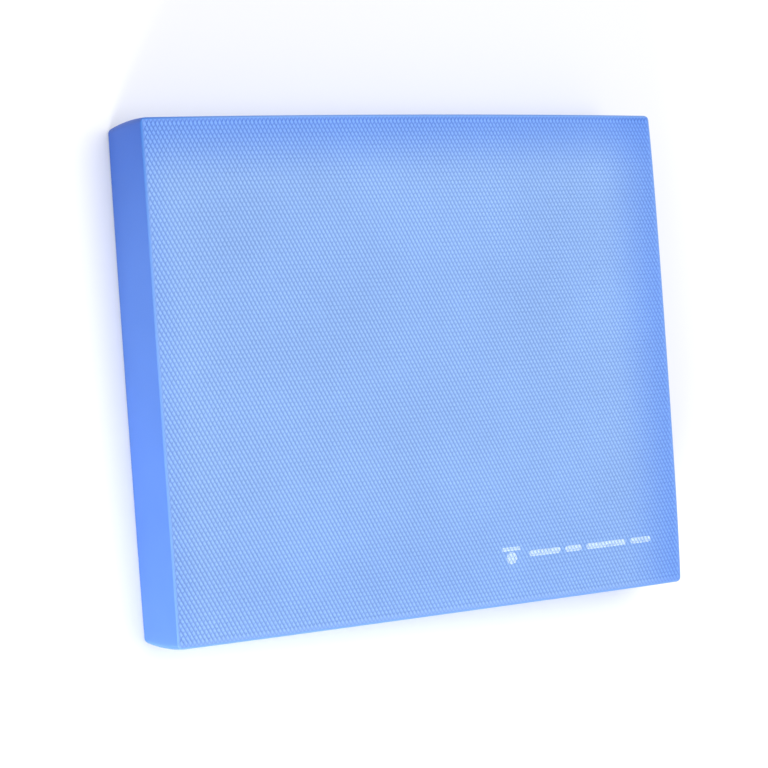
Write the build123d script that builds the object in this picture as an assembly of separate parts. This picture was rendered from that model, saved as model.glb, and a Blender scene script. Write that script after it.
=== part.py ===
from build123d import *
import os

# A balance pad, lying flat as it is used: a moulded block of soft closed-cell foam under a
# denser moulded skin. X runs along the long sides, Y along the short sides and Z up through
# the thickness. The origin is on the floor, under the middle of the pad. Millimetres.

# overall size, across the widest part of the sides
pad_length = 400.0
pad_width = 340.0
pad_thickness = 57.0

# outer shape
side_bow = 1.2          # each side bows out this far in plan, between its corners
side_crown = 1.2        # each side swells out this far at mid height, past its top and bottom
corner_radius = 5.0     # upright corners, in plan
edge_radius = 1.2       # roundover from the sides to the two faces
least_radius = 1.0      # corners of the outlines drawn in further than corner_radius

# skins
grip_skin_thickness = 2.0     # embossed skin on the top and bottom faces
side_skin_thickness = 2.5     # smooth skin round the sides
plain_band = 0.2              # smooth strip between the rounded edge and the embossing

# printed mark: a plank balanced on a ball, then a row of plain dashes
ink_thickness = 0.2           # printed flush with the tops of the pips
mark_gap_right = 28.0         # from the last dash to the pad's right side
mark_gap_front = 35.0         # from the mark's centre line to the pad's front side
dash_lengths = [26.0, 14.0, 34.0, 18.0]
dash_height = 4.2
dash_gap = 4.0                # between one dash and the next
emblem_gap = 7.0              # from the plank to the first dash
plank_length = 15.0
plank_height = 2.6
ball_radius = 4.2
ball_gap = 0.8                # from the ball up to the plank


def plan(inset):
    """The pad's outline drawn in by inset: four gently bowed sides with rounded corners."""
    x, y = pad_length / 2 - inset, pad_width / 2 - inset
    cx, cy = x - side_bow, y - side_bow
    corners = [(-cx, -cy), (cx, -cy), (cx, cy), (-cx, cy)]
    middles = [(0, -y), (x, 0), (0, y), (-x, 0)]
    sides = [ThreePointArc(corners[i], middles[i], corners[(i + 1) % 4]) for i in range(4)]
    outline = make_face(sides)
    return fillet(outline.vertices(), max(corner_radius - inset, least_radius))


def crowned_block(inset, bottom, top):
    """A block whose sides swell to mid height, drawn in all round by inset."""
    narrow, wide = plan(inset + side_crown), plan(inset)
    middle = (bottom + top) / 2
    return loft([Pos(0, 0, bottom) * narrow, Pos(0, 0, middle) * wide, Pos(0, 0, top) * narrow])


def whole_pad():
    """The pad's outer shape, with the edges of both faces rounded over."""
    block = crowned_block(0, 0, pad_thickness)
    faces = block.faces().sort_by(Axis.Z)
    return fillet(faces[0].edges() + faces[-1].edges(), edge_radius)


def panel(bottom, top):
    """The embossed area between two heights, which stops short of the rounded edges."""
    inset = side_crown + edge_radius + plain_band
    return Pos(0, 0, bottom) * extrude(plan(inset), top - bottom)


def mark_shapes():
    """The printed shapes in plan: the dashes from right to left, then the plank and the ball."""
    y = mark_gap_front - pad_width / 2
    right = pad_length / 2 - mark_gap_right
    shapes = []
    for length in reversed(dash_lengths):
        shapes.append(Pos(right - length / 2, y) * SlotOverall(length, dash_height))
        right -= length + dash_gap
    centre = right + dash_gap - emblem_gap - plank_length / 2
    emblem_height = plank_height + ball_gap + 2 * ball_radius
    plank = Pos(centre, y + (emblem_height - plank_height) / 2) * Rectangle(plank_length, plank_height)
    ball = Pos(centre, y - emblem_height / 2 + ball_radius) * Circle(ball_radius)
    return shapes + [plank, ball]


# the five pieces, each filling the space the last one leaves
core_bottom, core_top = grip_skin_thickness, pad_thickness - grip_skin_thickness
pad = whole_pad()
foam_core = crowned_block(side_skin_thickness, core_bottom, core_top)
printed_mark = [Pos(0, 0, pad_thickness - ink_thickness) * extrude(s, ink_thickness) for s in mark_shapes()]
top_grip_skin = panel(core_top, pad_thickness) - printed_mark
bottom_grip_skin = panel(0, core_bottom)
side_skin = pad - foam_core - panel(core_top, pad_thickness) - bottom_grip_skin

nodes = {
    "foam_core": foam_core,
    "top_grip_skin": top_grip_skin,
    "bottom_grip_skin": bottom_grip_skin,
    "side_skin": side_skin,
    "printed_mark": Compound(children=printed_mark),
}

os.makedirs("parts", exist_ok=True)
for name, shape in nodes.items():
    export_step(shape, f"parts/{name}.step")
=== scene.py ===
import math
import bmesh
import bpy
import numpy as np
from mathutils import Matrix, Vector


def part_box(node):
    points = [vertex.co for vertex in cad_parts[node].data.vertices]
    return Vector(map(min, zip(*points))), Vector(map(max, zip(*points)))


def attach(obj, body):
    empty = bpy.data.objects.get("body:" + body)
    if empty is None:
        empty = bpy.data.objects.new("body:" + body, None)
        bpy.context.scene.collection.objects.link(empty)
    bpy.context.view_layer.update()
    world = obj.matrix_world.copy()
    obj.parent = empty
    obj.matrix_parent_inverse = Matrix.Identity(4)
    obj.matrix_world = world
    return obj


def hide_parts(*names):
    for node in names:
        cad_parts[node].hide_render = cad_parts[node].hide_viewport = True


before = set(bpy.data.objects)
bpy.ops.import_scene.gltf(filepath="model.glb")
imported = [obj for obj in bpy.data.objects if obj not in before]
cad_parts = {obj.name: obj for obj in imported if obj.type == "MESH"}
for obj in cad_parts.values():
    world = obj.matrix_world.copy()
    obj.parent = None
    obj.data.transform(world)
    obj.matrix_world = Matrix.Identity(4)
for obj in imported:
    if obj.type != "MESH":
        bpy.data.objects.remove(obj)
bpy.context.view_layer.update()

mm = 0.001
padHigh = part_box("side_skin")[1]
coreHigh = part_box("foam_core")[1]
panelLow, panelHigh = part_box("top_grip_skin")
markLow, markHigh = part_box("printed_mark")

# places taken from the CAD parts, in metres
halfLength, halfWidth = padHigh[0], padHigh[1]
thickness = padHigh[2]
midHeight = thickness / 2
gripSkin = panelHigh[2] - panelLow[2]           # thickness of the embossed skins
sideSkin = halfLength - coreHigh[0]             # thickness of the side skin
plainMargin = halfLength - panelHigh[0]         # smooth band round the embossing


def linear(hexColour):
    # sRGB hex to the linear numbers that the shaders take
    parts = [int(hexColour[i:i + 2], 16) / 255 for i in (1, 3, 5)]
    return [c / 12.92 if c <= 0.04045 else ((c + 0.055) / 1.055) ** 2.4 for c in parts] + [1.0]


def addNode(tree, kind, values=None, links=None, **settings):
    # one shader node: its settings, the numbers on its sockets and what feeds them
    node = tree.nodes.new(kind)
    for name, value in settings.items():
        setattr(node, name, value)
    for name, value in (values or {}).items():
        node.inputs[name].default_value = value
    for name, socket in (links or {}).items():
        tree.links.new(socket, node.inputs[name])
    return node


def newMaterial(name):
    # an empty material, its node tree and the piece's own coordinates in metres
    material = bpy.data.materials.new(name)
    material.use_nodes = True
    tree = material.node_tree
    tree.nodes.clear()
    return material, tree, addNode(tree, "ShaderNodeTexCoord").outputs["Object"]


def smoothStep(low, high, value):
    # 0 at low, 1 at high and a soft ramp between them
    t = np.clip((value - low) / (high - low), 0, 1)
    return t * t * (3 - 2 * t)


# the foam's own shape, in metres
foamShape = {
    "frontBow": 0.3 * mm,        # how far each side bows out in plan between its corners
    "rightBow": 1.2 * mm,
    "backBow": 1.2 * mm,
    "leftBow": 0.4 * mm,
    "sideCrown": 1.2 * mm,       # and swells at mid height
    "cornerRadius": 5.0 * mm,    # upright corners
    "sharpCorner": 0.1 * mm,     # corners of the embossing, which is all but square
    "edgeRadius": 1.2 * mm,      # roundover between the sides and the faces
    "faceDrop": 1.3 * mm,        # the faces fall away by this at the middle of each side
    "dropPower": 7,              # and stay level further in
    "floorShare": 0.3,           # share of that fall underneath, where the pad rests
    "marginSink": 0.15 * mm,     # the plain margin lies this far under the tops of the pips
    "longSidePoints": 56,
    "shortSidePoints": 48,
    "cornerPoints": 7,
    "edgePoints": 7,
    "sidePoints": 12,            # down the outside of each side
    "innerPoints": 7,            # and down its inside
    "creaseAngle": 50,           # degrees: flatter edges than this are shaded smooth
}


def settle(points):
    # from the mould's plain shape to the foam's: the faces fall away towards the sides
    x, y, z = np.asarray(points, float).T
    power = foamShape["dropPower"]
    fall = foamShape["faceDrop"] * (np.abs(x / halfLength) ** power + np.abs(y / halfWidth) ** power)
    rise = (z - midHeight) / midHeight
    share = np.where(rise > 0, 1.0, foamShape["floorShare"])
    return np.stack([x, y, z - fall * rise * share], axis=1)


def swellAt(height):
    # how far the sides draw in at a height, from their widest at mid height
    return foamShape["sideCrown"] * ((height - midHeight) / midHeight) ** 2


def cornerAt(inset):
    # corners stay concentric down the sides, then sharpen over the rounded edge to the square embossing
    concentric = foamShape["cornerRadius"] - inset
    overEdge = (plainMargin - inset) / (plainMargin - foamShape["sideCrown"])
    sharpening = overEdge * (foamShape["cornerRadius"] - foamShape["sideCrown"])
    return max(min(concentric, sharpening), foamShape["sharpCorner"])


def outlineAt(inset):
    # the outline in plan, drawn in by inset, with the same number of points whatever the inset
    a, b = halfLength - inset, halfWidth - inset
    radius = cornerAt(inset)
    alongX = np.linspace(-1, 1, foamShape["longSidePoints"])
    alongY = np.linspace(-1, 1, foamShape["shortSidePoints"])
    turn = np.linspace(0, math.pi / 2, foamShape["cornerPoints"] + 2)[1:-1]
    front, right, back, left = (foamShape[side + "Bow"] for side in ("front", "right", "back", "left"))
    lowX, highX = left + radius - a, a - right - radius
    lowY, highY = front + radius - b, b - back - radius

    def corner(x, y, start):
        return np.stack([x + radius * np.cos(turn + start), y + radius * np.sin(turn + start)], axis=1)

    def between(low, high, along):
        return (low + high) / 2 + (high - low) / 2 * along

    return np.concatenate([
        np.stack([between(lowX, highX, alongX), front * alongX ** 2 - b], axis=1),
        corner(highX, lowY, -math.pi / 2),
        np.stack([a - right * alongY ** 2, between(lowY, highY, alongY)], axis=1),
        corner(highX, highY, 0),
        np.stack([between(lowX, highX, -alongX), b - back * alongX ** 2], axis=1),
        corner(lowX, highY, math.pi / 2),
        np.stack([left * alongY ** 2 - a, between(lowY, highY, -alongY)], axis=1),
        corner(lowX, lowY, math.pi)])


def sweepRings(profile, closed):
    # one ring of outline points for each (inset, height), joined with quads; open ends get a middle point
    rings = [np.column_stack([outlineAt(inset), np.full(len(outlineAt(inset)), height)])
             for inset, height in profile]
    count, total = len(rings[0]), len(rings)
    points = np.concatenate(rings)
    across = np.arange(count)
    following = np.roll(across, -1)
    faces = []
    for k in range(total if closed else total - 1):
        here, there = k * count, (k + 1) % total * count
        ends = [here + across, here + following, there + following, there + across]
        faces.append(np.stack(ends, axis=1))
    faces = np.concatenate(faces).tolist()
    if not closed:
        for ring in (0, total - 1):
            points = np.vstack([points, [0, 0, profile[ring][1]]])
            middle = len(points) - 1
            faces += [[ring * count + i, ring * count + j, middle] for i, j in zip(across, following)]
    return points, faces


def addPiece(name, points, faces, material, node):
    # a closed mesh with its normals outwards, riding on the pad in place of its CAD node
    mesh = bpy.data.meshes.new(name)
    mesh.from_pydata(points.tolist(), [], faces)
    work = bmesh.new()
    work.from_mesh(mesh)
    bmesh.ops.recalc_face_normals(work, faces=work.faces)
    work.to_mesh(mesh)
    work.free()
    mesh.polygons.foreach_set("use_smooth", [True] * len(mesh.polygons))
    mesh.set_sharp_from_angle(angle=math.radians(foamShape["creaseAngle"]))
    mesh.materials.append(material)
    piece = bpy.data.objects.new(name, mesh)
    bpy.context.scene.collection.objects.link(piece)
    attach(piece, "root")
    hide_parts(node)
    print(name, len(mesh.vertices), "points,", len(mesh.polygons), "faces")
    return piece


# side skin: smooth moulded foam skin, from the embossing on one face round to that on the other
sideSkinLook = {
    # painted shade: both side blues are deeper than the grip skins' blue of the same foam, for the weaker
    # light on the sides
    "blue": "#4f81dc",
    "deepBlue": "#4679d4",
    "paintedHighlightBlue": "#6e9ae0",    # painted highlight: paler over the rounded edges and the plain margin
    "paintedShadeTint": "#8ec8ec",      # painted shade: the side darkens and deepens round the back left corner
    "paintedShadeReach": (120 * mm, 160 * mm),    # it thins out over these lengths along the back and left sides
    "paintedHighlightReach": (0.2 * mm, 1.4 * mm),    # full down to the first depth, none from the second
    "cloudSize": 60 * mm,        # slow drift of the dye
    "grainSize": 0.9 * mm,       # fine closed cells just under the skin
    "grainShare": 0.35,          # how much the cells add to the drift
    "blendFrom": 0.35,           # deep blue up to this much drift, and plain blue from the next
    "blendTo": 0.95,
    "grainDepth": 0.03 * mm,
    "grainStrength": 0.5,
    "roughness": (0.5, 0.6),
    "ior": 1.5,
}


def mouldedTpeSkin():
    # TPE foam skinned against a smooth mould wall: an even deep blue with a soft satin sheen, deeper than
    # the grip skins' blue as painted shade for the weaker light on the sides
    look = sideSkinLook
    material, tree, place = newMaterial("tpe foam, smooth moulded skin")
    cloud = addNode(tree, "ShaderNodeTexNoise", {"Scale": 1 / look["cloudSize"], "Detail": 2.0},
                    {"Vector": place})
    grain = addNode(tree, "ShaderNodeTexNoise", {"Scale": 1 / look["grainSize"], "Detail": 3.0},
                    {"Vector": place})
    cells = addNode(tree, "ShaderNodeMath", {1: look["grainShare"]}, {0: grain.outputs["Fac"]},
                    operation="MULTIPLY")
    blend = addNode(tree, "ShaderNodeMath", None, {0: cloud.outputs["Fac"], 1: cells.outputs[0]},
                    operation="ADD")
    colour = addNode(tree, "ShaderNodeValToRGB", None, {"Fac": blend.outputs[0]})
    deep, plain = colour.color_ramp.elements
    deep.position, deep.color = look["blendFrom"], linear(look["deepBlue"])
    plain.position, plain.color = look["blendTo"], linear(look["blue"])
    # painted highlight: the rounded edges and the plain margin are painted paler
    highlight = addNode(tree, "ShaderNodeAttribute", attribute_name="paintedHighlightShare").outputs["Fac"]
    highlighted = addNode(tree, "ShaderNodeMix", {7: linear(look["paintedHighlightBlue"])},
                      {0: highlight, 6: colour.outputs["Color"]}, data_type="RGBA")
    # painted shade: multiplies the blue darker and deeper round the back left corner
    paintedShade = addNode(tree, "ShaderNodeAttribute", attribute_name="paintedShadeShare").outputs["Fac"]
    shadedColour = addNode(tree, "ShaderNodeMix", {7: linear(look["paintedShadeTint"])},
                     {0: paintedShade, 6: highlighted.outputs[2]}, data_type="RGBA", blend_type="MULTIPLY")
    low, high = look["roughness"]
    rough = addNode(tree, "ShaderNodeMapRange", {"To Min": low, "To Max": high},
                    {"Value": grain.outputs["Fac"]})
    bump = addNode(tree, "ShaderNodeBump",
                   {"Strength": look["grainStrength"], "Distance": look["grainDepth"]},
                   {"Height": grain.outputs["Fac"]})
    skin = addNode(tree, "ShaderNodeBsdfPrincipled", {"IOR": look["ior"]},
                   {"Base Color": shadedColour.outputs[2], "Roughness": rough.outputs["Result"],
                    "Normal": bump.outputs["Normal"]})
    addNode(tree, "ShaderNodeOutputMaterial", None, {"Surface": skin.outputs[0]})
    return material


def sideProfile():
    # the skin's section as (inset, height): over the rounded edge, down the swollen side and back inside
    radius, crown, sink = foamShape["edgeRadius"], foamShape["sideCrown"], foamShape["marginSink"]
    top, bottom = thickness - sink, sink
    centreTop, centreBottom = top - radius, bottom + radius
    across = radius + swellAt(centreTop)
    outer = [(plainMargin, top), ((plainMargin + across) / 2, top)]
    turn = np.linspace(0, math.pi / 2, foamShape["edgePoints"])
    outer += [(across - radius * math.sin(t), centreTop + radius * math.cos(t)) for t in turn]
    heights = np.linspace(centreTop, centreBottom, foamShape["sidePoints"])[1:-1]
    outer += [(swellAt(h), h) for h in heights]
    outer += [(across - radius * math.cos(t), centreBottom - radius * math.sin(t)) for t in turn]
    outer += [((plainMargin + across) / 2, bottom), (plainMargin, bottom)]
    inner = [(plainMargin, gripSkin), (sideSkin + crown, gripSkin)]
    heights = np.linspace(gripSkin, thickness - gripSkin, foamShape["innerPoints"])[1:-1]
    inner += [(sideSkin + swellAt(h), h) for h in heights]
    inner += [(sideSkin + crown, thickness - gripSkin), (plainMargin, thickness - gripSkin)]
    return outer + inner


def storeShare(piece, name, values):
    # a number from 0 to 1 at each point of a piece, for its material to read
    piece.data.attributes.new(name, "FLOAT", "POINT").data.foreach_set("value", values.astype(np.float32))


points, faces = sweepRings(sideProfile(), closed=True)
sidePiece = addPiece("sideSkin", settle(points), faces, mouldedTpeSkin(), "side_skin")
depth = midHeight - np.abs(points[:, 2] - midHeight)
# painted highlight on the rounded edges and margin, within reach of either face
storeShare(sidePiece, "paintedHighlightShare", smoothStep(*reversed(sideSkinLook["paintedHighlightReach"]), depth))
# painted shade share: 1 at the back left corner, none beyond the reach along either side
reachX, reachY = sideSkinLook["paintedShadeReach"]
alongBack = np.clip(1 - (halfLength + points[:, 0]) / reachX, 0, 1)
alongLeft = np.clip(1 - (halfWidth - points[:, 1]) / reachY, 0, 1)
storeShare(sidePiece, "paintedShadeShare", (alongBack * alongLeft) ** 2)

# grip skins: rows of small leaning pips, each row shifted by half a pip
gripLook = {
    "pipAlong": 2.88 * mm,       # spacing along a row
    "rowStep": 2.80 * mm,        # from one row to the next
    "pipHeight": 0.8 * mm,
    "topAcross": 0.2,            # half the width of each pip's flat top, as a share of the pip
    "topAlong": 0.28,            # and half its length, from one row towards the next
    "topLean": 1.4,              # how far it leans along the row over that length
    "fadeBand": 1 * mm,          # the pips grow to full height over this, in from the margin
    "undersideRings": (1.0, 0.97, 0.9, 0.75, 0.4),
    "paintedLightTopBlue": "#92b7eb",        # pip tops painted paler and valleys darker: painted light and shade standing in for the pips' shading
    "paintedShadeValleyBlue": "#7497d4",
    "paintedShadeTint": "#acd0ff",      # painted shade: darker and bluer towards the sides, most along the right and back
    "paintedShadeBands": {              # how wide a band along each side, and how much painted shade it gets there
        "front": (110 * mm, 0.15),
        "right": (55 * mm, 0.65),
        "back": (48 * mm, 0.7),
        "left": (24 * mm, 0.22),
    },
    "cloudSize": 70 * mm,
    "cloudRange": (0.3, 0.7),    # nearly all of the drift's noise lies between these
    "cloudShade": (0.97, 1.03),  # and darkens and lightens the dye by this much
    "grainSize": 0.8 * mm,
    "grainShade": (0.95, 1.05),
    "grainDepth": 0.04 * mm,
    "grainStrength": 0.5,
    "roughness": (0.55, 0.68),
    "ior": 1.5,
}
pipsAcross = round(2 * panelHigh[0] / gripLook["pipAlong"])
rowsAcross = round(2 * panelHigh[1] / gripLook["rowStep"])


def bowAlong(share, low, high):
    # the bow of whichever of two opposite sides a point is nearer
    return np.where(share < 0, foamShape[low + "Bow"], foamShape[high + "Bow"])


def panelPlace(column, row):
    # from lattice steps (half a pip along, one row across) to metres on the bowed panel
    s, t = column / pipsAcross - 1, 2 * row / rowsAcross - 1
    x = s * (panelHigh[0] - bowAlong(s, "left", "right") * t ** 2)
    y = t * (panelHigh[1] - bowAlong(t, "front", "back") * s ** 2)
    return x, y


def gripHeight(x, y, share):
    # height over the floor of a point on a pip; share is 0 in the valleys and 1 on the pip's top
    toMargin = np.minimum(panelHigh[0] - np.abs(x), panelHigh[1] - np.abs(y))
    fade = smoothStep(0, gripLook["fadeBand"], toMargin)
    level = thickness - foamShape["marginSink"]
    valley = level - (gripLook["pipHeight"] - foamShape["marginSink"]) * fade
    crest = level + foamShape["marginSink"] * fade
    return valley + (crest - valley) * share


def planeOf(corners, triangle):
    # how the height over one triangle grows with column and row, and its height at the middle
    a, b, c = (corners[i] for i in triangle)
    return np.linalg.solve([[*a[:2], 1], [*b[:2], 1], [*c[:2], 1]], [a[2], b[2], c[2]])


def pipForm():
    # a pip about its own middle, in lattice steps: four feet, a flat top, and the triangles between them
    across, along = gripLook["topAcross"], gripLook["topAlong"]
    lean = gripLook["topLean"] * along
    corners = [(1, 0, 0), (0, 1, 0), (-1, 0, 0), (0, -1, 0),
               (across + lean, -along, 1), (across - lean, along, 1),
               (-across - lean, along, 1), (lean - across, -along, 1)]
    slopes = []
    for k in range(4):
        n = (k + 1) % 4
        halves = (k, n, n + 4), (k, n + 4, k + 4)
        if planeOf(corners, halves[0]) @ [*corners[k + 4][:2], 1] < 1:
            halves = (k, n, k + 4), (n, n + 4, k + 4)    # split the other way, which keeps the pip convex
        slopes += halves
    return corners, slopes, np.array([planeOf(corners, slope) for slope in slopes])


pipCorners, pipSlopes, pipPlanes = pipForm()


def gripPanel():
    # the top skin as a closed solid: pips above, a plain underside, and the share of pip at each point
    columns, rows = 2 * pipsAcross, rowsAcross
    column, row = np.meshgrid(np.arange(columns + 1), np.arange(rows + 1))
    isPip = (column + row) % 2 == 0
    onRim = (column == 0) | (column == columns) | (row == 0) | (row == rows)
    x, y = panelPlace(column, row)
    kept = ~isPip | onRim
    number = np.full(column.shape, -1)
    number[kept] = np.arange(kept.sum())
    height = np.where(onRim, thickness - foamShape["marginSink"], gripHeight(x, y, 0.0))
    points = [np.stack([x[kept], y[kept], height[kept]], axis=1)]
    shares = [np.where(isPip[kept], 1.0, 0.0)]

    pipColumn, pipRow = column[isPip & ~onRim], row[isPip & ~onRim]
    around = [corner[:2] for corner in pipCorners[:4]]
    first = kept.sum()
    ends = [number[pipRow + dr, pipColumn + dc] for dc, dr in around]
    for k, corner in enumerate(pipCorners[4:]):
        tx, ty = panelPlace(pipColumn + corner[0], pipRow + corner[1])
        points.append(np.stack([tx, ty, gripHeight(tx, ty, 1.0)], axis=1))
        shares.append(np.ones(len(tx)))
        ends.append(first + k * len(tx) + np.arange(len(tx)))
    triangles = pipSlopes + [(4, 5, 6), (4, 6, 7)]
    faces = [np.stack([ends[i] for i in triangle], axis=1) for triangle in triangles]
    faces = np.concatenate(faces).tolist()

    # half and quarter pips along the rim have no flat top: they fall from the margin to the valleys
    for c, r in zip(column[isPip & onRim], row[isPip & onRim]):
        nearby = [(c + dc, r + dr) for dc, dr in around]
        inside = [number[q, p] if 0 <= p <= columns and 0 <= q <= rows else -1 for p, q in nearby]
        for k in range(4):
            if inside[k] >= 0 and inside[(k + 1) % 4] >= 0:
                faces.append([int(number[r, c]), int(inside[k]), int(inside[(k + 1) % 4])])

    # the wall down from the rim, then smaller and smaller copies of it underneath
    rim = np.concatenate([number[0, :-1], number[:-1, -1], number[-1, :0:-1], number[:0:-1, 0]])
    flat = np.concatenate(points)
    loop = rim
    start = len(flat)
    for size in gripLook["undersideRings"]:
        ring = flat[rim] * [size, size, 1]
        ring[:, 2] = thickness - gripSkin
        points.append(ring)
        shares.append(np.zeros(len(rim)))
        below = start + np.arange(len(rim))
        faces += np.stack([loop, below, np.roll(below, -1), np.roll(loop, -1)], axis=1).tolist()
        loop, start = below, start + len(rim)
    points.append([[0, 0, thickness - gripSkin]])
    shares.append([0.0])
    faces += [[int(a), start, int(b)] for a, b in zip(loop, np.roll(loop, -1))]
    return np.concatenate(points), faces, np.concatenate(shares)


def embossedTpeSkin():
    # the same foam skinned against an embossed plate: paler than the side skin, and paler on the pips
    # than between them, as painted light and shade
    look = gripLook
    material, tree, place = newMaterial("tpe foam, embossed skin")
    pip = addNode(tree, "ShaderNodeAttribute", attribute_name="pipShare").outputs["Fac"]
    # painted shade towards the sides, multiplied into the pips' blue
    rim = addNode(tree, "ShaderNodeAttribute", attribute_name="paintedShadeShare").outputs["Fac"]
    cloud = addNode(tree, "ShaderNodeTexNoise", {"Scale": 1 / look["cloudSize"], "Detail": 3.0},
                    {"Vector": place})
    grain = addNode(tree, "ShaderNodeTexNoise", {"Scale": 1 / look["grainSize"], "Detail": 2.0},
                    {"Vector": place})
    # painted light on the pip tops and painted shade in the valleys
    pipLightAndShade = addNode(tree, "ShaderNodeMix", {6: linear(look["paintedShadeValleyBlue"]), 7: linear(look["paintedLightTopBlue"])},
                   {0: pip}, data_type="RGBA")
    sides = addNode(tree, "ShaderNodeMix", {7: linear(look["paintedShadeTint"])}, {0: rim, 6: pipLightAndShade.outputs[2]},
                    data_type="RGBA", blend_type="MULTIPLY")
    least, most = look["cloudRange"]
    low, high = look["cloudShade"]
    drift = addNode(tree, "ShaderNodeMapRange",
                    {"From Min": least, "From Max": most, "To Min": low, "To Max": high},
                    {"Value": cloud.outputs["Fac"]})
    low, high = look["grainShade"]
    speck = addNode(tree, "ShaderNodeMapRange", {"To Min": low, "To Max": high},
                    {"Value": grain.outputs["Fac"]})
    shade = addNode(tree, "ShaderNodeMath", None, {0: drift.outputs[0], 1: speck.outputs[0]},
                    operation="MULTIPLY")
    colour = addNode(tree, "ShaderNodeVectorMath", None, {0: sides.outputs[2], "Scale": shade.outputs[0]},
                     operation="SCALE")
    low, high = look["roughness"]
    rough = addNode(tree, "ShaderNodeMapRange", {"To Min": low, "To Max": high},
                    {"Value": grain.outputs["Fac"]})
    bump = addNode(tree, "ShaderNodeBump",
                   {"Strength": look["grainStrength"], "Distance": look["grainDepth"]},
                   {"Height": grain.outputs["Fac"]})
    skin = addNode(tree, "ShaderNodeBsdfPrincipled", {"IOR": look["ior"]},
                   {"Base Color": colour.outputs["Vector"], "Roughness": rough.outputs["Result"],
                    "Normal": bump.outputs["Normal"]})
    addNode(tree, "ShaderNodeOutputMaterial", None, {"Surface": skin.outputs[0]})
    return material


def paintedShadeShares(x, y):
    # how much painted shade each point gets: each side has its own band, and they add up in the corners
    toSides = {
        "front": halfWidth + y,
        "right": halfLength - x,
        "back": halfWidth - y,
        "left": halfLength + x,
    }
    unshaded = np.ones_like(x)
    for side, (band, share) in gripLook["paintedShadeBands"].items():
        unshaded *= 1 - share * smoothStep(band, 0, toSides[side])
    return 1 - unshaded


embossedSkin = embossedTpeSkin()
points, faces, pipShares = gripPanel()
gripSides = (("topGripSkin", "top_grip_skin", False), ("bottomGripSkin", "bottom_grip_skin", True))
for name, node, turned in gripSides:
    placed = np.array(points, float)
    if turned:
        placed[:, 2] = thickness - placed[:, 2]
    gripPiece = addPiece(name, settle(placed), faces, embossedSkin, node)
    storeShare(gripPiece, "pipShare", pipShares)
    # painted shade, darker towards the sides
    storeShare(gripPiece, "paintedShadeShare", paintedShadeShares(placed[:, 0], placed[:, 1]))

# foam core: the soft inside, which shows only if a skin is lifted off
coreLook = {
    "cellSize": 0.7 * mm,
    "wallShare": 0.25,           # how far in from a cell's edge its wall reaches
    "wallDepth": 0.12 * mm,
    "blue": "#79a8ee",
    "cellBlue": "#5f93e6",
    "roughness": 0.85,
    "ior": 1.5,
    "capInsets": (158, 120, 80, 45, 20, 8),    # rings across the flat faces, mm in from the sides
    "sidePoints": 9,
}


def cutTpeFoam():
    # the same foam cut through: open half cells that scatter light, so it is matt and a little paler
    look = coreLook
    material, tree, place = newMaterial("tpe foam, cut closed cells")
    cells = addNode(tree, "ShaderNodeTexVoronoi", {"Scale": 1 / look["cellSize"]}, {"Vector": place},
                    feature="DISTANCE_TO_EDGE")
    colour = addNode(tree, "ShaderNodeValToRGB", None, {"Fac": cells.outputs["Distance"]})
    wall, cell = colour.color_ramp.elements
    wall.color = linear(look["blue"])
    cell.position, cell.color = look["wallShare"], linear(look["cellBlue"])
    bump = addNode(tree, "ShaderNodeBump", {"Distance": look["wallDepth"]},
                   {"Height": cells.outputs["Distance"]}, invert=True)
    foam = addNode(tree, "ShaderNodeBsdfPrincipled", {"IOR": look["ior"], "Roughness": look["roughness"]},
                   {"Base Color": colour.outputs["Color"], "Normal": bump.outputs["Normal"]})
    addNode(tree, "ShaderNodeOutputMaterial", None, {"Surface": foam.outputs[0]})
    return material


def coreProfile():
    # from the middle of the underside, round the swollen side, to the middle of the top
    caps = [inset * mm for inset in coreLook["capInsets"]]
    heights = np.linspace(gripSkin, thickness - gripSkin, coreLook["sidePoints"])
    side = [(sideSkin + swellAt(h), h) for h in heights]
    return [(c, gripSkin) for c in caps] + side + [(c, thickness - gripSkin) for c in reversed(caps)]


points, faces = sweepRings(coreProfile(), closed=False)
corePiece = addPiece("foamCore", settle(points), faces, cutTpeFoam(), "foam_core")

# printed mark: a plank balanced on a ball, then plain dashes, in ink that sits on the pips
markLook = {
    "dashLengths": (26 * mm, 14 * mm, 34 * mm, 18 * mm),
    "dashHeight": 4.2 * mm,
    "dashGap": 4.0 * mm,
    "plank": (15 * mm, 2.6 * mm),
    "ballRadius": 4.2 * mm,
    "roundedTo": 0.97,           # a dash's round ends stop just short of a point
    "meshStep": 0.32 * mm,       # fine enough to follow each pip
    "film": 0.03 * mm,           # the ink stands this far off the pips
    "dip": 0.12 * mm,            # and drops out of sight between them
    "body": 0.1 * mm,            # its thickness down into the pips
    "inkReach": (0.02, 0.3),     # no ink up to the first share of a pip's height, full ink from the next
    "white": "#c8ddf4",
    "thinWhite": "#afc8ec",
    "blotSize": 2.5 * mm,
    "blotFrom": 0.3,             # thin ink up to this much blot, and full ink from the next
    "blotTo": 0.5,
    "roughness": 0.5,
    "ior": 1.5,
}


def screenInk():
    # screen-printed white ink on foam: flat and chalky, thinner in patches where the blue shows through
    look = markLook
    material, tree, place = newMaterial("white ink, screen printed")
    blot = addNode(tree, "ShaderNodeTexNoise", {"Scale": 1 / look["blotSize"], "Detail": 3.0},
                   {"Vector": place})
    colour = addNode(tree, "ShaderNodeValToRGB", None, {"Fac": blot.outputs["Fac"]})
    thin, full = colour.color_ramp.elements
    thin.position, thin.color = look["blotFrom"], linear(look["thinWhite"])
    full.position, full.color = look["blotTo"], linear(look["white"])
    ink = addNode(tree, "ShaderNodeBsdfPrincipled", {"IOR": look["ior"], "Roughness": look["roughness"]},
                  {"Base Color": colour.outputs["Color"]})
    addNode(tree, "ShaderNodeOutputMaterial", None, {"Surface": ink.outputs[0]})
    return material


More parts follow.
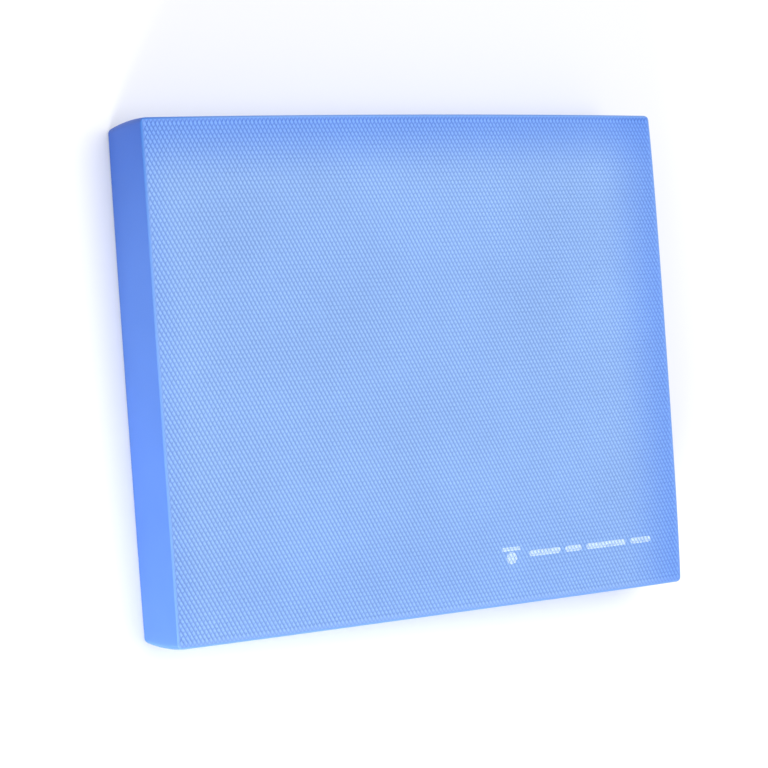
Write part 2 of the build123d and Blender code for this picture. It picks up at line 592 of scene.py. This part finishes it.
def pipShareAt(x, y):
    # how far up its pip a point of the panel is: 0 in a valley, 1 on the top
    s, t = x / panelHigh[0], y / panelHigh[1]
    bowX, bowY = bowAlong(x, "left", "right"), bowAlong(y, "front", "back")
    for _ in range(3):    # each round takes out most of what the bows still add
        s, t = x / (panelHigh[0] - bowX * t ** 2), y / (panelHigh[1] - bowY * s ** 2)
    column, row = (s + 1) * pipsAcross, (t + 1) / 2 * rowsAcross
    rising, falling = np.round((column + row) / 2), np.round((column - row) / 2)
    pipColumn, pipRow = rising + falling, rising - falling    # of the nearest pip's middle
    fromMiddle = np.stack([column - pipColumn, row - pipRow, np.ones_like(x)])
    return np.clip(np.tensordot(pipPlanes, fromMiddle, 1).min(axis=0), 0, 1)


def steps(length):
    # how many grid points the ink needs over a length
    return max(3, round(length / markLook["meshStep"]) + 1)


def dashGrid(length, height):
    # a bar with rounded ends, as a grid of points about its own middle
    x = np.linspace(-length / 2, length / 2, steps(length))
    end = np.clip((np.abs(x) - (length - height) / 2) / (height / 2), 0, markLook["roundedTo"])
    across = np.linspace(-1, 1, steps(height))
    reach = height / 2 * np.sqrt(1 - end ** 2)
    return np.stack([np.tile(x, (len(across), 1)), across[:, None] * reach], axis=2)


def blockGrid(width, height):
    # a plain rectangle as a grid of points about its own middle
    x, y = np.meshgrid(np.linspace(-0.5, 0.5, steps(width)), np.linspace(-0.5, 0.5, steps(height)))
    return np.stack([x * width, y * height], axis=2)


def discGrid(radius):
    # a disc as a grid of points: a square pulled round
    u, v = np.meshgrid(np.linspace(-1, 1, steps(2 * radius)), np.linspace(-1, 1, steps(2 * radius)))
    return radius * np.stack([u * np.sqrt(1 - v ** 2 / 2), v * np.sqrt(1 - u ** 2 / 2)], axis=2)


def inkPatch(grid, centre):
    # a thin closed film over one printed shape, which follows the pips under it
    look = markLook
    x, y = grid[..., 0] + centre[0], grid[..., 1] + centre[1]
    share = pipShareAt(x, y)
    inked = smoothStep(*look["inkReach"], share)
    height = gripHeight(x, y, share) + look["film"] * inked - look["dip"] * (1 - inked)
    upper = np.stack([x, y, height], axis=2).reshape(-1, 3)
    lower = upper - [0, 0, look["body"]]
    rows, columns = share.shape
    number = np.arange(rows * columns).reshape(rows, columns)
    a, b, c, d = number[:-1, :-1], number[:-1, 1:], number[1:, 1:], number[1:, :-1]
    top = np.stack([a, b, c, d], axis=2).reshape(-1, 4)
    bottom = top[:, ::-1] + len(upper)
    sides = [number[0], number[1:, -1], number[-1, -2::-1], number[-2:0:-1, 0], number[0, :1]]
    border = np.concatenate(sides)
    walls = np.stack([border[:-1], border[:-1] + len(upper), border[1:] + len(upper), border[1:]], axis=1)
    return np.concatenate([upper, lower]), np.concatenate([top, bottom, walls])


def printedShapes():
    # every printed shape with its middle, from the right-hand dash back to the emblem
    look = markLook
    lineY = (markLow[1] + markHigh[1]) / 2
    right = markHigh[0]
    for length in reversed(look["dashLengths"]):
        yield dashGrid(length, look["dashHeight"]), (right - length / 2, lineY)
        right -= length + look["dashGap"]
    width, height = look["plank"]
    centreX = markLow[0] + width / 2
    yield blockGrid(width, height), (centreX, markHigh[1] - height / 2)
    yield discGrid(look["ballRadius"]), (centreX, markLow[1] + look["ballRadius"])


allPoints, allFaces, used = [], [], 0
for grid, centre in printedShapes():
    points, faces = inkPatch(grid, centre)
    allPoints.append(points)
    allFaces += (faces + used).tolist()
    used += len(points)
points = settle(np.concatenate(allPoints))
addPiece("printedMark", points, allFaces, screenInk(), "printed_mark")

# studio: a pale floor, a broad lamp above, a low key across the pips and a strip light by one corner
studio = {
    "floorHalf": 8.0,            # half its side, in metres
    "floorColour": "#f7f7f8",
    "floorRoughness": 0.9,
    "skyColour": "#fbfcff",
    "skyStrength": 0.5,
    "lamps": (    # name, place, aim, width, height, power, spread in degrees
        ("overheadSoftbox", (0.2, 0.3, 1.9), (0.0, 0.0, 0.0), 1.6, 1.4, 26.0, 180),
        ("keySoftbox", (-0.99, -1.96, 0.83), (0.0, 0.0, 0.05), 0.8, 0.6, 32.0, 180),
        ("stripLight", (-0.5, -0.5, 0.09), (-0.2, -0.25, 0.03), 0.4, 0.12, 0.27, 60),
    ),
}


def paleBoard():
    # matt painted board: nearly white, so the pad stands out and its shadow stays soft
    material, tree, _ = newMaterial("painted board, matt")
    paint = addNode(tree, "ShaderNodeBsdfPrincipled",
                    {"Base Color": linear(studio["floorColour"]), "Roughness": studio["floorRoughness"]})
    addNode(tree, "ShaderNodeOutputMaterial", None, {"Surface": paint.outputs[0]})
    return material


def buildStudio():
    half = studio["floorHalf"]
    mesh = bpy.data.meshes.new("floor")
    corners = [(-half, -half, 0), (half, -half, 0), (half, half, 0), (-half, half, 0)]
    mesh.from_pydata(corners, [], [(0, 1, 2, 3)])
    mesh.materials.append(paleBoard())
    floor = bpy.data.objects.new("floor", mesh)
    bpy.context.scene.collection.objects.link(floor)
    world = bpy.data.worlds.new("studio")
    bpy.context.scene.world = world
    world.use_nodes = True
    sky = world.node_tree.nodes["Background"]
    sky.inputs["Color"].default_value = linear(studio["skyColour"])
    sky.inputs["Strength"].default_value = studio["skyStrength"]
    for name, place, aim, width, height, power, spread in studio["lamps"]:
        light = bpy.data.lights.new(name, "AREA")
        light.shape, light.size, light.size_y = "RECTANGLE", width, height
        light.energy, light.spread = power, math.radians(spread)
        lamp = bpy.data.objects.new(name, light)
        lamp.location = place
        lamp.rotation_mode = "QUATERNION"
        lamp.rotation_quaternion = (Vector(aim) - Vector(place)).to_track_quat("-Z", "Y")
        lamp.visible_camera = False
        bpy.context.scene.collection.objects.link(lamp)


# the camera looks down on the top face from over the left-hand side, turned so that the print reads level
cameraView = {
    "aim": (-0.0377, -0.0109, 0.057),
    "distance": 1.4091,
    "azimuth": -90.66,
    "elevation": 60.52,
    "roll": 86.51,
    "lens": 99.33,
    "sensor": 36.0,
}


def placeCamera():
    view = cameraView
    a, e = math.radians(view["azimuth"]), math.radians(view["elevation"])
    back = Vector((math.sin(a) * math.cos(e), -math.cos(a) * math.cos(e), math.sin(e)))
    lens = bpy.data.cameras.new("camera")
    lens.lens, lens.sensor_width = view["lens"], view["sensor"]
    camera = bpy.data.objects.new("camera", lens)
    level = (-back).to_track_quat("-Z", "Y").to_matrix().to_4x4()
    turn = Matrix.Rotation(math.radians(view["roll"]), 4, "Z")
    camera.matrix_world = Matrix.Translation(Vector(view["aim"]) + back * view["distance"]) @ level @ turn
    bpy.context.scene.collection.objects.link(camera)
    bpy.context.scene.camera = camera


buildStudio()
placeCamera()
bpy.context.scene.view_settings.view_transform = "Standard"
print("studio and camera placed")
